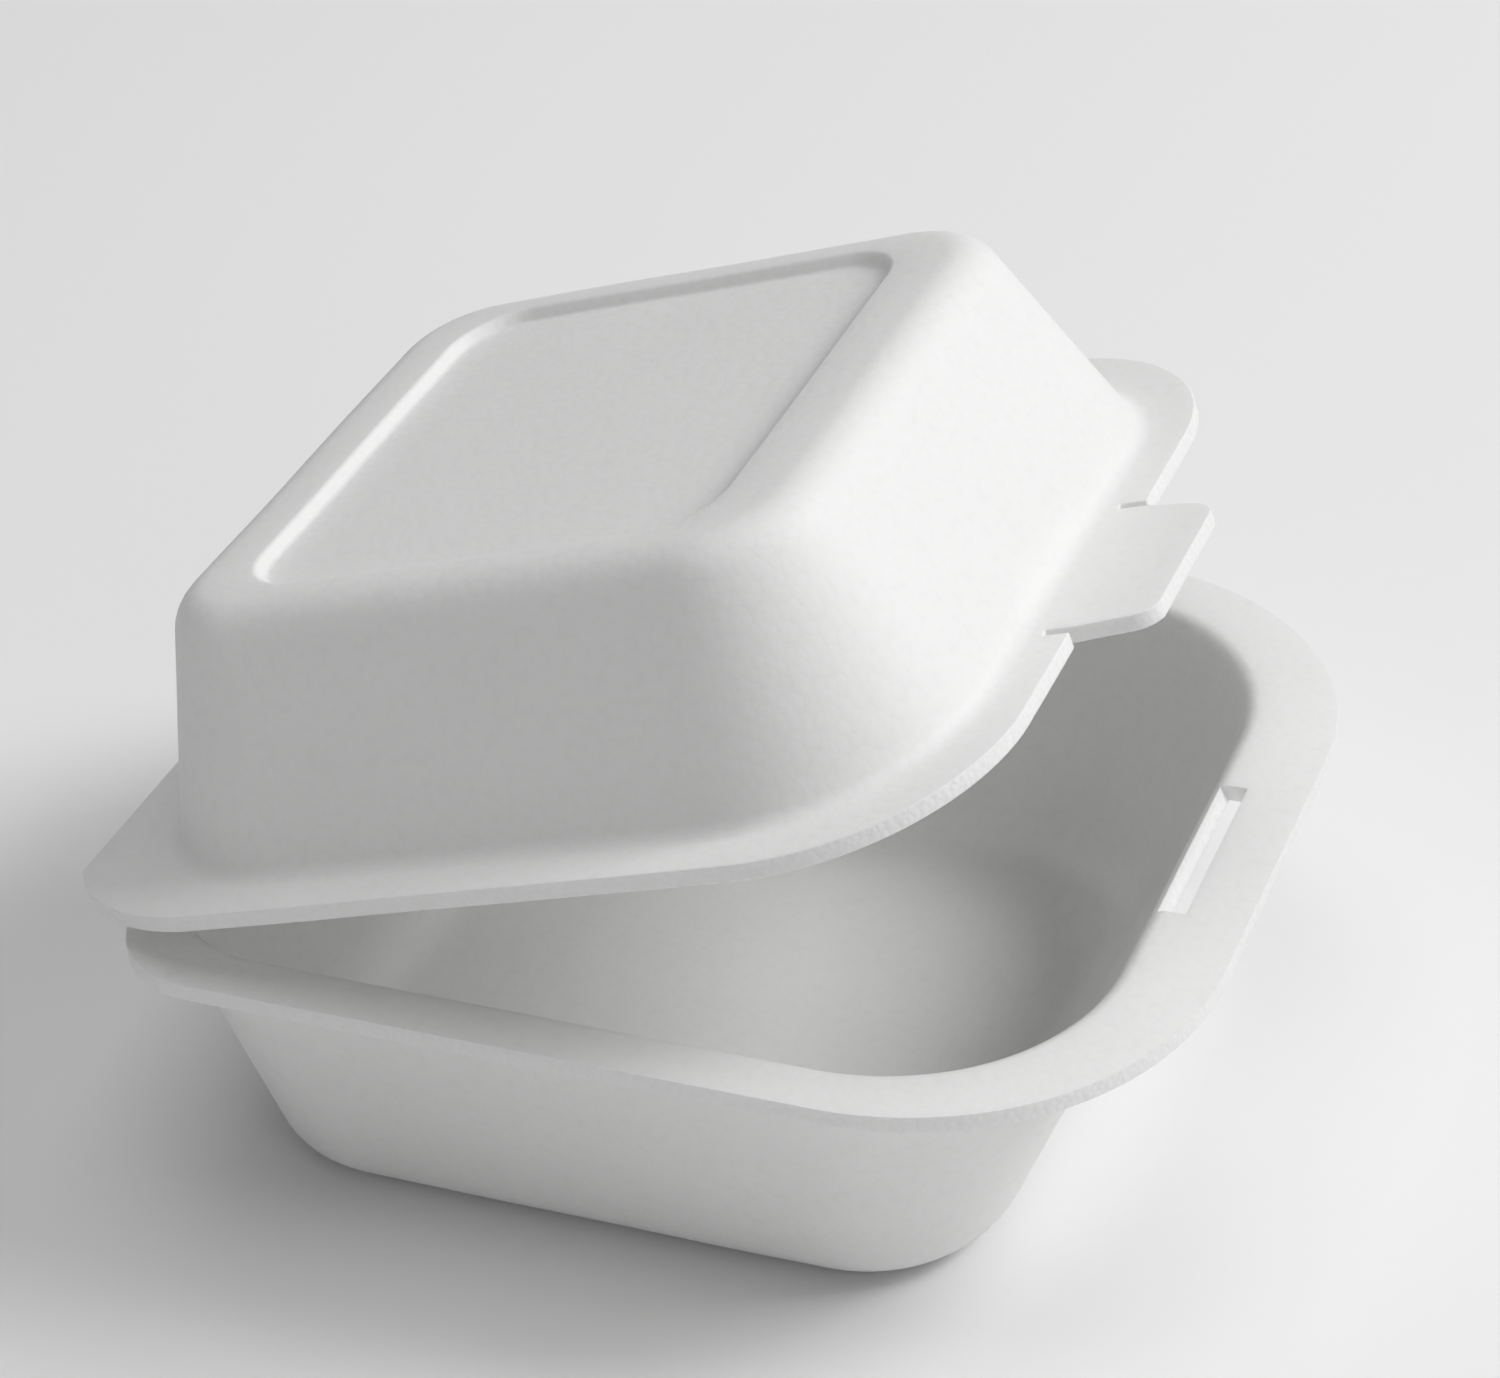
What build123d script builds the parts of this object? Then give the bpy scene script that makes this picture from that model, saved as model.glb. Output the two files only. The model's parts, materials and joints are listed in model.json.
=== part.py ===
"""Foam burger box: a square tray and a domed lid thermoformed from one sheet of white foam.

The lid turns on a thin crease along the back rim. A flat tongue on the lid's front rim tucks into a
slot in the wide front lip of the tray. Millimetres, +Z up, front towards -Y, hinge towards +Y. The
origin is the middle of the tray's flat underside. The lid is stored part open, at LID_REST_ANGLE.
"""

import os
from math import radians, tan

from build123d import *

# Foam sheet
WALL = 2.2
RIM_THICKNESS = 2.0

# Tray: flat floor, walls that flare outwards to the mouth
TRAY_HEIGHT = 41.0
FLOOR_WIDTH = 93.5
FLOOR_LENGTH = 95.5
FLOOR_CORNER = 17.0
FLOOR_BEND = 8.0
SIDE_FLARE = 10.0
FRONT_FLARE = 18.0
BACK_FLARE = 8.5
MOUTH_FRONT_CORNER = 31.0
MOUTH_BACK_CORNER = 18.0
MOUTH_BEND = 2.0

# Tray rim: narrow at the sides, a wide locking lip at the front, round shoulders at the back
RIM_SIDE = 5.5
RIM_FRONT = 9.5
RIM_SHOULDER = 0.5
RIM_FRONT_CORNER = 38.0
RIM_SHOULDER_CORNER = 13.0

# Hinge land: the strip of rim between the shoulders, which ends at the crease
HINGE_LAND = 8.5
HINGE_LENGTH = 90.0
HINGE_LAND_ROUND = 3.0

# Locking slot, cut through the lip where it meets the front wall
SLOT_LENGTH = 28.0
SLOT_WIDTH = 3.2
SLOT_INTO_WALL = 1.4

# Lid: walls that lean inwards to a flat top with a shallow sunk panel
LID_HEIGHT = 32.5
LID_DRAFT = 21.0
LID_FRONT_CORNER = 26.0
LID_BACK_CORNER = 24.0
LID_TOP_BEND = 6.0
LID_FOOT_BEND = 2.5
LID_MOUTH_BEND = 3.0
PANEL_SIDE_BORDER = 6.0
PANEL_FRONT_BORDER = 11.3
PANEL_BACK_BORDER = 9.6
PANEL_CORNER = 9.0
PANEL_DEPTH = 1.5
PANEL_DRAFT = 35.0

# Lid rim: a little smaller than the tray's, with round back corners that the hinge edge cuts off
LID_SETBACK = 1.6
LID_FRONT_SETBACK = 15.0
LID_RIM_SIDE = 6.0
LID_RIM_FRONT = 5.5
LID_RIM_FRONT_CORNER = 28.0
LID_RIM_BACK_CORNER = 28.0
LID_RIM_CUT_OFF = 4.0

# Tongue on the lid's front rim, freed by a slit at each side
TONGUE_WIDTH = 29.0
TONGUE_TIP_WIDTH = 26.0
TONGUE_LENGTH = 10.0
TONGUE_CORNER = 3.0
SLIT_WIDTH = 1.2
SLIT_LENGTH = 3.5

# Hinge: a thin round crease between the two rims
CREASE_RADIUS = 0.8
CREASE_CLEARANCE = 0.1
RIM_GAP = 0.3
LID_REST_ANGLE = 17.0

# How far a cutting shape runs past the material it cuts
OVERRUN = 1.0

# Places worked out from the sizes above
floor_front = -FLOOR_LENGTH / 2
floor_back = FLOOR_LENGTH / 2
mouth_front = floor_front - FRONT_FLARE
mouth_back = floor_back + BACK_FLARE
mouth_half_width = FLOOR_WIDTH / 2 + SIDE_FLARE
rim_front = mouth_front - RIM_FRONT
rim_shoulder = mouth_back + RIM_SHOULDER
rim_half_width = mouth_half_width + RIM_SIDE
hinge_y = mouth_back + HINGE_LAND
hinge_z = TRAY_HEIGHT + RIM_GAP / 2
hinge_axis = Axis((0, hinge_y, hinge_z), (-1, 0, 0))
rim_back = hinge_y - RIM_GAP / 2
lid_seat = hinge_z + RIM_GAP / 2
lid_top = lid_seat + LID_HEIGHT
lid_rim_half_width = rim_half_width - LID_SETBACK
lid_rim_front = rim_front + LID_FRONT_SETBACK


def rounded_plan(half_width, front, back, front_radius, back_radius):
    """A rectangle in plan, with one radius at its front corners and another at its back corners."""
    plan = Pos(0, (front + back) / 2) * Rectangle(2 * half_width, back - front)
    plan = fillet(plan.vertices().sort_by(Axis.Y)[:2], front_radius)
    return fillet(plan.vertices().sort_by(Axis.Y)[-2:], back_radius)


def blend(start, end, share):
    """The value that lies at share of the way from start to end."""
    return start + (end - start) * share


def tray_section(z, inset):
    """Plan of the tray's wall at height z, drawn in by inset from its outer face."""
    share = z / TRAY_HEIGHT
    plan = rounded_plan(
        blend(FLOOR_WIDTH / 2, mouth_half_width, share) - inset,
        blend(floor_front, mouth_front, share) + inset,
        blend(floor_back, mouth_back, share) - inset,
        blend(FLOOR_CORNER, MOUTH_FRONT_CORNER, share) - inset,
        blend(FLOOR_CORNER, MOUTH_BACK_CORNER, share) - inset,
    )
    return Pos(0, 0, z) * plan


def drawn_body(bottom, top):
    """Solid between two plans of the same kind: a flat wall for each side, a ruled one for each corner."""
    walls = []
    for low, high in zip(bottom.wire().order_edges(), top.wire().order_edges()):
        if low.geom_type == GeomType.LINE:
            walls.append(make_face(Polyline(low @ 0, low @ 1, high @ 1, high @ 0, close=True)).face())
        else:
            walls.append(Face.make_surface_from_curves(low, high))
    return Solid(Shell([bottom.face(), top.face(), *walls]))


def edges_at(part, z):
    """The edges of part that lie wholly at height z."""
    return part.edges().filter_by_position(Axis.Z, z, z)


def level_face(part, z):
    """The largest flat face of part at height z."""
    return part.faces().filter_by(Axis.Z).filter_by_position(Axis.Z, z, z).sort_by(SortBy.AREA)[-1]


def tray_rim_plan():
    """Outline of the tray's rim, with the hinge land between its shoulders."""
    plan = rounded_plan(rim_half_width, rim_front, rim_shoulder, RIM_FRONT_CORNER, RIM_SHOULDER_CORNER)
    plan += Rectangle(HINGE_LENGTH, rim_back, align=(Align.CENTER, Align.MIN))
    land_corners = plan.vertices().filter_by(lambda v: abs(abs(v.X) - HINGE_LENGTH / 2) < RIM_GAP)
    return fillet(land_corners.sort_by(Axis.Y)[:2], HINGE_LAND_ROUND)


def make_tray():
    """Tray with its rim, the locking slot and the hinge crease."""
    body = drawn_body(tray_section(0, 0), tray_section(TRAY_HEIGHT - RIM_THICKNESS, 0))
    body = fillet(edges_at(body, 0), FLOOR_BEND)
    tray = body + Pos(0, 0, TRAY_HEIGHT - RIM_THICKNESS) * extrude(tray_rim_plan(), RIM_THICKNESS)
    hollow = drawn_body(tray_section(WALL, WALL), tray_section(TRAY_HEIGHT + OVERRUN, WALL))
    tray -= fillet(edges_at(hollow, WALL), FLOOR_BEND - WALL)
    tray = fillet(level_face(tray, TRAY_HEIGHT).inner_wires()[0].edges(), MOUTH_BEND)
    slot_size = (SLOT_LENGTH, SLOT_WIDTH, RIM_THICKNESS + OVERRUN)
    slot = Box(*slot_size, align=(Align.CENTER, Align.MAX, Align.MIN))
    tray -= Pos(0, mouth_front + SLOT_INTO_WALL, TRAY_HEIGHT - RIM_THICKNESS) * slot
    crease = Rot(0, 90, 0) * Cylinder(CREASE_RADIUS, HINGE_LENGTH)
    return tray + Pos(0, hinge_y, hinge_z) * crease


def lid_section(z, inset):
    """Plan of the closed lid's wall at height z over its seat, drawn in by inset from its outer face."""
    draw = inset + z * tan(radians(LID_DRAFT))
    plan = rounded_plan(
        lid_rim_half_width - LID_RIM_SIDE - draw,
        lid_rim_front + LID_RIM_FRONT + draw,
        mouth_back - draw,
        LID_FRONT_CORNER - draw,
        LID_BACK_CORNER - draw,
    )
    return Pos(0, 0, lid_seat + z) * plan


def panel_plan(grow):
    """Outline of the lid's sunk panel, grown outwards all round by grow."""
    top = lid_section(LID_HEIGHT, 0).bounding_box()
    corner = PANEL_CORNER + grow
    half_width = top.max.X - PANEL_SIDE_BORDER + grow
    front = top.min.Y + PANEL_FRONT_BORDER - grow
    back = top.max.Y - PANEL_BACK_BORDER + grow
    return rounded_plan(half_width, front, back, corner, corner)


def make_tongue():
    """Tongue on the lid's front rim, a little narrower at its tip, with rounded tip corners."""
    tip = lid_rim_front - TONGUE_LENGTH
    root = lid_rim_front + SLIT_LENGTH
    outline = Polyline(
        (TONGUE_WIDTH / 2, root),
        (TONGUE_WIDTH / 2, lid_rim_front),
        (TONGUE_TIP_WIDTH / 2, tip),
        (-TONGUE_TIP_WIDTH / 2, tip),
        (-TONGUE_WIDTH / 2, lid_rim_front),
        (-TONGUE_WIDTH / 2, root),
        close=True,
    )
    plan = make_face(outline)
    plan = fillet(plan.vertices().sort_by(Axis.Y)[:2], TONGUE_CORNER)
    return extrude(plan, RIM_THICKNESS)


def make_lid_rim():
    """Rim of the lid with the tongue, at height 0."""
    back = hinge_y + LID_RIM_CUT_OFF
    plan = rounded_plan(lid_rim_half_width, lid_rim_front, back, LID_RIM_FRONT_CORNER, LID_RIM_BACK_CORNER)
    past_hinge = Rectangle(2 * rim_half_width, LID_RIM_CUT_OFF + OVERRUN, align=(Align.CENTER, Align.MIN))
    plan -= Pos(0, rim_back) * past_hinge
    rim = extrude(plan, RIM_THICKNESS) + make_tongue()
    slit_size = (SLIT_WIDTH, SLIT_LENGTH + OVERRUN, RIM_THICKNESS + OVERRUN)
    slit = Box(*slit_size, align=(Align.CENTER, Align.MAX, Align.MIN))
    for side in (-1, 1):
        rim -= Pos(side * (TONGUE_WIDTH + SLIT_WIDTH) / 2, lid_rim_front + SLIT_LENGTH) * slit
    return rim


def make_lid():
    """Lid with its sunk panel, rim and tongue, built closed and then turned open about the crease."""
    body = extrude(lid_section(0, 0), LID_HEIGHT, taper=LID_DRAFT)
    body = fillet(edges_at(body, lid_top), LID_TOP_BEND)
    lid = body + Pos(0, 0, lid_seat) * make_lid_rim()
    lid = fillet(level_face(lid, lid_seat + RIM_THICKNESS).inner_wires()[0].edges(), LID_FOOT_BEND)
    lid -= extrude(Pos(0, 0, lid_top) * panel_plan(0), -PANEL_DEPTH, taper=PANEL_DRAFT)
    hollow = extrude(lid_section(-OVERRUN, WALL), LID_HEIGHT - WALL + OVERRUN, taper=LID_DRAFT)
    hollow = fillet(edges_at(hollow, lid_top - WALL), LID_TOP_BEND - WALL)
    hollow -= extrude(Pos(0, 0, lid_top - WALL) * panel_plan(WALL), -PANEL_DEPTH, taper=PANEL_DRAFT)
    lid -= hollow
    lid = fillet(level_face(lid, lid_seat).inner_wires()[0].edges(), LID_MOUTH_BEND)
    groove = Rot(0, 90, 0) * Cylinder(CREASE_RADIUS + CREASE_CLEARANCE, 2 * rim_half_width)
    lid -= Pos(0, hinge_y, hinge_z) * groove
    return lid.rotate(hinge_axis, LID_REST_ANGLE)


os.makedirs("parts", exist_ok=True)
export_step(make_tray(), "parts/tray.step")
export_step(make_lid(), "parts/lid.step")
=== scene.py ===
"""Dresses the foam burger box: a drawn tray and a domed lid of white foam, joined by a pressed crease.

Metres, +Z up, front towards -Y, hinge towards +Y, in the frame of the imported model. Each half of the
box is one skin, grown ring by ring from the middle of its panel out to the die-cut rim, and then given
the thickness of the foam sheet. The lid is built closed and turned open to the pose it is stored in.
"""

import json
import logging
import math
from dataclasses import dataclass, field
from enum import Enum
from typing import Any

import bmesh
import bpy
from mathutils import Matrix, Vector, noise


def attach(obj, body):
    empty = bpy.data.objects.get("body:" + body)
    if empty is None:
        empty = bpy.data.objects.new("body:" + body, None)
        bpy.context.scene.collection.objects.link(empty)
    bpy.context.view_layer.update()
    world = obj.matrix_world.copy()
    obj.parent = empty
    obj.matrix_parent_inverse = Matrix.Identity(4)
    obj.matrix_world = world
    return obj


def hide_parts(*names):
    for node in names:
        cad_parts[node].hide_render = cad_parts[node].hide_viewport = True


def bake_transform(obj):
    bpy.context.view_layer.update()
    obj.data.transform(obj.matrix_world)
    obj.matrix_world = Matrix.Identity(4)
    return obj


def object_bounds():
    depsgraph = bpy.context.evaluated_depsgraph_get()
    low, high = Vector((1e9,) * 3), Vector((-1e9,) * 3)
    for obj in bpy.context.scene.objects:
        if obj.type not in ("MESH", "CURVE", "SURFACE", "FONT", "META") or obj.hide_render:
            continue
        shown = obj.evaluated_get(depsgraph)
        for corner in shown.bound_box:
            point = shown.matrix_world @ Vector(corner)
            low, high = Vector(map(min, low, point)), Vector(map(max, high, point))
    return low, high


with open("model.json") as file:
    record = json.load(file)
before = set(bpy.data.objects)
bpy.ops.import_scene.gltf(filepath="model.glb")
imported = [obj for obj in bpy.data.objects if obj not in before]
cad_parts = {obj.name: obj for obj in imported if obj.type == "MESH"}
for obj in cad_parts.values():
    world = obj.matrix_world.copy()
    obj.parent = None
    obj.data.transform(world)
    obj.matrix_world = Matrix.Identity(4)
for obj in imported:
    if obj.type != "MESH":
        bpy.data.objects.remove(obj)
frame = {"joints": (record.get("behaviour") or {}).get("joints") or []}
cad_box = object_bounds()

LOG = logging.getLogger("burger_box")
PHOTO_WIDTH = 1500
SENSOR_WIDTH = 36.0
RIGHT_ANGLE = math.pi / 2
FRONT_REACH = 0.030  # half the length of the front edge, as its stations count it
FRONT_PITCH = 0.0024  # distance from one station of the front edge to the next


class Stretch(Enum):
    """The stretches of a rounded outline, anticlockwise from above, starting at the front edge."""

    FRONT = 0
    FRONT_RIGHT = 1
    RIGHT = 2
    BACK_RIGHT = 3
    BACK = 4
    BACK_LEFT = 5
    LEFT = 6
    FRONT_LEFT = 7


MIRRORED = {
    Stretch.BACK_LEFT: Stretch.BACK_RIGHT,
    Stretch.LEFT: Stretch.RIGHT,
    Stretch.FRONT_LEFT: Stretch.FRONT_RIGHT,
}


class Surface(Enum):
    """The two kinds of foam surface, by their place in a piece's list of materials."""

    SKIN = 0
    CUT_EDGE = 1


def between(start: float, end: float, share: float) -> float:
    """The value that lies at share of the way from start to end."""
    return start + (end - start) * share


@dataclass(frozen=True)
class Station:
    """A place on an outline that every ring of a skin has.

    Attributes:
        stretch: The stretch that it lies on.
        share: How far along that stretch it lies, from 0 to 1, on all but the front stretch.
        x: Its distance to the right of the middle, on the front stretch.
    """

    stretch: Stretch
    share: float = 0.0
    x: float = 0.0


@dataclass(frozen=True)
class Plan:
    """A rounded rectangle seen from above.

    Attributes:
        half_width: Distance from the middle to each side.
        front: Place of the front edge.
        back: Place of the back edge.
        front_radius: Radius of the front corners.
        back_radius: Radius of the back corners.
    """

    half_width: float
    front: float
    back: float
    front_radius: float
    back_radius: float

    def grown(self, by: float) -> "Plan":
        """This outline moved outwards all round by a distance."""
        return Plan(
            self.half_width + by,
            self.front - by,
            self.back + by,
            self.front_radius + by,
            self.back_radius + by,
        )

    def towards(self, other: "Plan", share: float) -> "Plan":
        """The outline at share of the way from this one to another."""
        return Plan(
            between(self.half_width, other.half_width, share),
            between(self.front, other.front, share),
            between(self.back, other.back, share),
            between(self.front_radius, other.front_radius, share),
            between(self.back_radius, other.back_radius, share),
        )

    def scaled(self, share: float) -> "Plan":
        """This outline shrunk about its own middle."""
        middle = (self.front + self.back) / 2
        return Plan(
            self.half_width * share,
            between(middle, self.front, share),
            between(middle, self.back, share),
            self.front_radius * share,
            self.back_radius * share,
        )

    def front_x(self, x: float, lock: float) -> float:
        """Place on the front edge of a station at x.

        Args:
            x: Distance of the station from the middle.
            lock: Stations nearer to the middle than this keep their x on every ring.

        Returns:
            The station's distance from the middle on this outline.
        """
        half = self.half_width - self.front_radius
        if half <= lock:
            return half * x / FRONT_REACH
        if abs(x) <= lock:
            return x
        share = (abs(x) - lock) / (FRONT_REACH - lock)
        return math.copysign(between(lock, half, share), x)

    def point(self, station: Station, lock: float) -> Vector:
        """Where a station lies on this outline, at height zero.

        Args:
            station: The station to place.
            lock: As in front_x.

        Returns:
            The place of the station.
        """
        side = self.half_width
        arc = RIGHT_ANGLE * station.share
        front_end = self.front + self.front_radius
        back_end = self.back - self.back_radius
        if station.stretch is Stretch.FRONT:
            return Vector((self.front_x(station.x, lock), self.front, 0))
        if station.stretch is Stretch.FRONT_RIGHT:
            turn = Vector((math.sin(arc), -math.cos(arc), 0)) * self.front_radius
            return Vector((side - self.front_radius, front_end, 0)) + turn
        if station.stretch is Stretch.RIGHT:
            return Vector((side, between(front_end, back_end, station.share), 0))
        if station.stretch is Stretch.BACK_RIGHT:
            turn = Vector((math.cos(arc), math.sin(arc), 0)) * self.back_radius
            return Vector((side - self.back_radius, back_end, 0)) + turn
        if station.stretch is Stretch.BACK:
            half = side - self.back_radius
            return Vector((between(half, -half, station.share), self.back, 0))
        twin = MIRRORED[station.stretch]
        point = self.point(Station(twin, 1 - station.share), lock)
        return Vector((-point.x, point.y, 0))


@dataclass(frozen=True)
class RimPlan(Plan):
    """The die-cut outline of a rim, whose back ends at a straight hinge edge.

    Attributes:
        hinge_edge: Place of the hinge edge.
    """

    hinge_edge: float = 0.0

    @property
    def corner_middle(self) -> Vector:
        """Middle of the back right corner's round."""
        return Vector((self.half_width - self.back_radius, self.back - self.back_radius, 0))

    def shoulder(self, share: float) -> Vector:
        """Place on the back right corner, from 0 at its side to 1 at the hinge edge."""
        raise NotImplementedError

    def point(self, station: Station, lock: float) -> Vector:
        """Where a station lies on this outline, at height zero.

        Args:
            station: The station to place.
            lock: As in front_x.

        Returns:
            The place of the station.
        """
        if station.stretch is Stretch.BACK_RIGHT:
            return self.shoulder(station.share)
        if station.stretch is Stretch.BACK:
            end = self.shoulder(1)
            return Vector((between(end.x, -end.x, station.share), end.y, 0))
        return super().point(station, lock)


@dataclass(frozen=True)
class LidRimPlan(RimPlan):
    """Outline of the lid's rim: the hinge edge cuts off its round back corners."""

    def shoulder(self, share: float) -> Vector:
        """Place on the back right corner.

        Args:
            share: How far along the corner, from 0 at its side to 1 at the hinge edge.

        Returns:
            The place, at height zero.
        """
        full = math.asin((self.hinge_edge - self.corner_middle.y) / self.back_radius)
        turn = Vector((math.cos(full * share), math.sin(full * share), 0))
        return self.corner_middle + turn * self.back_radius


@dataclass(frozen=True)
class TrayRimPlan(RimPlan):
    """Outline of the tray's rim: round shoulders, and a hinge land between them.

    Attributes:
        land_half: Half the length of the hinge land.
        land_round: Radius where the land meets the shoulders.
        round_share: Share of the corner's stations on the shoulder's round.
        inner_share: Share of them up to the end of the land's round.
    """

    land_half: float = 0.0
    land_round: float = 0.0
    round_share: float = 0.6
    inner_share: float = 0.85

    def shoulder(self, share: float) -> Vector:
        """Place on the back right corner.

        Args:
            share: How far along the corner, from 0 at its side to 1 at the hinge edge.

        Returns:
            The place, at height zero.
        """
        if share <= self.round_share:
            arc = RIGHT_ANGLE * share / self.round_share
            return self.corner_middle + Vector((math.cos(arc), math.sin(arc), 0)) * self.back_radius
        centre = Vector((self.land_half, self.back, 0)) + Vector((1, 1, 0)) * self.land_round
        if share <= self.inner_share:
            arc = RIGHT_ANGLE * (share - self.round_share) / (self.inner_share - self.round_share)
            return centre - Vector((math.sin(arc), math.cos(arc), 0)) * self.land_round
        past = (share - self.inner_share) / (1 - self.inner_share)
        return Vector((self.land_half, between(centre.y, self.hinge_edge, past), 0))


class SkinLoft:
    """A skin that grows ring by ring, each ring extruded from the last one's open edge."""

    def __init__(self, stations: list[Station], lock: float) -> None:
        """Starts the skin from a capped circle.

        Args:
            stations: The stations that every ring has.
            lock: Front stations nearer to the middle than this keep their x on every ring.
        """
        self.stations = stations
        self.lock = lock
        self.mesh = bmesh.new()
        made = bmesh.ops.create_circle(self.mesh, cap_ends=True, radius=1, segments=len(stations))
        self.rings: list[list[bmesh.types.BMVert]] = [list(made["verts"])]

    def place(self, plan: Plan, height: float) -> None:
        """Lays the newest ring on an outline at a height."""
        for vert, station in zip(self.rings[-1], self.stations):
            vert.co = plan.point(station, self.lock) + Vector((0, 0, height))

    def grow(self, plan: Plan, height: float) -> None:
        """Extrudes the open edge to a new ring, on an outline at a height."""
        self.extrude()
        self.place(plan, height)

    def grow_between(self, plan: Plan, height: float, share: float) -> None:
        """Extrudes a ring that lies between the last one and an outline.

        Args:
            plan: The outline that the skin grows towards.
            height: Height of that outline.
            share: How far from the last ring to that outline the new ring lies.
        """
        old = [vert.co.copy() for vert in self.rings[-1]]
        self.grow(plan, height)
        for vert, start in zip(self.rings[-1], old):
            vert.co = start.lerp(vert.co, share)

    def extrude(self) -> None:
        """Extrudes the open edge, and lists the new ring in the order of the old one."""
        old = self.rings[-1]
        edges = [self.mesh.edges.get((a, b)) for a, b in zip(old, old[1:] + old[:1])]
        made = bmesh.ops.extrude_edge_only(self.mesh, edges=edges)
        new = {item for item in made["geom"] if isinstance(item, bmesh.types.BMVert)}
        self.rings.append([self.partner(vert, new) for vert in old])

    @staticmethod
    def partner(vert: bmesh.types.BMVert, new: set[bmesh.types.BMVert]) -> bmesh.types.BMVert:
        """The vertex that was extruded from another."""
        return next(edge.other_vert(vert) for edge in vert.link_edges if edge.other_vert(vert) in new)

    def columns(self, low: float, high: float) -> list[int]:
        """Columns of the front edge that lie between two distances from the middle.

        Args:
            low: Distance of the leftmost edge, negative to the left.
            high: Distance of the rightmost edge.

        Returns:
            The number of each column's first station.
        """
        slack = FRONT_PITCH / 100
        found = []
        for number, (left, right) in enumerate(zip(self.stations, self.stations[1:])):
            if left.stretch is Stretch.FRONT and right.stretch is Stretch.FRONT:
                if left.x > low - slack and right.x < high + slack:
                    found.append(number)
        return found

    def face(self, ring: int, column: int) -> bmesh.types.BMFace:
        """The face between a ring and the next one, in the column after a station."""
        inner, outer = self.rings[ring][column], self.rings[ring + 1][column + 1]
        return next(face for face in inner.link_faces if outer in face.verts[:])

    def cut_away(self, first_ring: int, last_ring: int, columns: list[int]) -> None:
        """Deletes the faces between two rings in some columns."""
        faces = [self.face(ring, column) for ring in range(first_ring, last_ring) for column in columns]
        bmesh.ops.delete(self.mesh, geom=faces, context="FACES")

    def face_up(self) -> None:
        """Turns every face so that the skin's first face looks up."""
        self.mesh.normal_update()
        bmesh.ops.recalc_face_normals(self.mesh, faces=self.mesh.faces[:])
        self.mesh.normal_update()
        self.mesh.faces.ensure_lookup_table()
        if self.mesh.faces[0].normal.z < 0:
            bmesh.ops.reverse_faces(self.mesh, faces=self.mesh.faces[:])
        self.mesh.normal_update()


@dataclass(frozen=True)
class Bend:
    """A bend of the sheet where a leaning wall meets a level panel or rim.

    Attributes:
        radius: Radius of the bend on the skin.
        lean: Angle of the wall from upright, in radians.
        steps: Number of rings in the bend.
    """

    radius: float
    lean: float
    steps: int = 7

    @property
    def reach(self) -> float:
        """How far the bend reaches along the level and along the wall."""
        return self.radius * math.tan((RIGHT_ANGLE - self.lean) / 2)

    def offsets(self) -> list[tuple[float, float]]:
        """Rings of the bend, from the level side to the wall.

        Returns:
            Pairs of a distance inwards from the wall's own line and a distance from the level.
        """
        found = []
        for step in range(self.steps + 1):
            angle = (RIGHT_ANGLE - self.lean) * step / self.steps
            rise = self.radius * (1 - math.cos(angle))
            along = -self.reach + self.radius * math.sin(angle)
            found.append((along - rise * math.tan(self.lean), rise))
        return found


@dataclass(frozen=True)
class Unevenness:
    """How far the drawn foam departs from its tool.

    Attributes:
        depth: Greatest departure of a wall or panel.
        grain: Distance from one soft swell to the next.
    """

    depth: float = 0.00014
    grain: float = 0.022

    def roughen(self, mesh: bmesh.types.BMesh, seed: float) -> None:
        """Moves each vertex along its normal by a soft noise.

        Args:
            mesh: The skin, with its normals up to date.
            seed: Shifts the noise, so that the two halves differ.
        """
        shift = Vector((seed, 2 * seed, 3 * seed))
        for vert in mesh.verts:
            vert.co += vert.normal * self.depth * noise.noise(vert.co / self.grain + shift)


@dataclass
class FoamSheet:
    """Sizes that the whole box shares.

    Attributes:
        wall: Thickness of the foam.
        edge_round: Rounding of the die-cut edges.
        hinge: A point on the hinge axis.
        hinge_half: Half the length of the crease.
        gap: Gap between the two rims when the box is closed.
        corner_segments: Columns in each corner of an outline.
        side_segments: Columns in each straight side of an outline.
    """

    hinge: Vector
    wall: float = 0.0022
    edge_round: float = 0.00045
    hinge_half: float = 0.045
    gap: float = 0.0003
    corner_segments: int = 22
    side_segments: int = 26
    unevenness: Unevenness = field(default_factory=Unevenness)

    def stations(self, front_marks: list[float]) -> list[Station]:
        """The stations of every ring.

        Args:
            front_marks: Distances from the middle, to one side, that need a station on the front edge.

        Returns:
            The stations, anticlockwise from the left end of the front edge.
        """
        half_marks = sorted({0.0, *front_marks, FRONT_REACH})
        xs = []
        for low, high in zip(half_marks, half_marks[1:]):
            parts = max(1, round((high - low) / FRONT_PITCH))
            xs += [between(low, high, part / parts) for part in range(1, parts + 1)]
        front = [-x for x in reversed(xs)] + [0.0] + xs
        found = [Station(Stretch.FRONT, x=x) for x in front[:-1]]
        for stretch in list(Stretch)[1:]:
            straight = stretch in (Stretch.RIGHT, Stretch.BACK, Stretch.LEFT)
            count = self.side_segments if straight else self.corner_segments
            found += [Station(stretch, share=step / count) for step in range(count)]
        return found

    @property
    def hinge_edge(self) -> float:
        """Place of the rims' back edges."""
        return self.hinge.y - self.gap / 2


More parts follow.
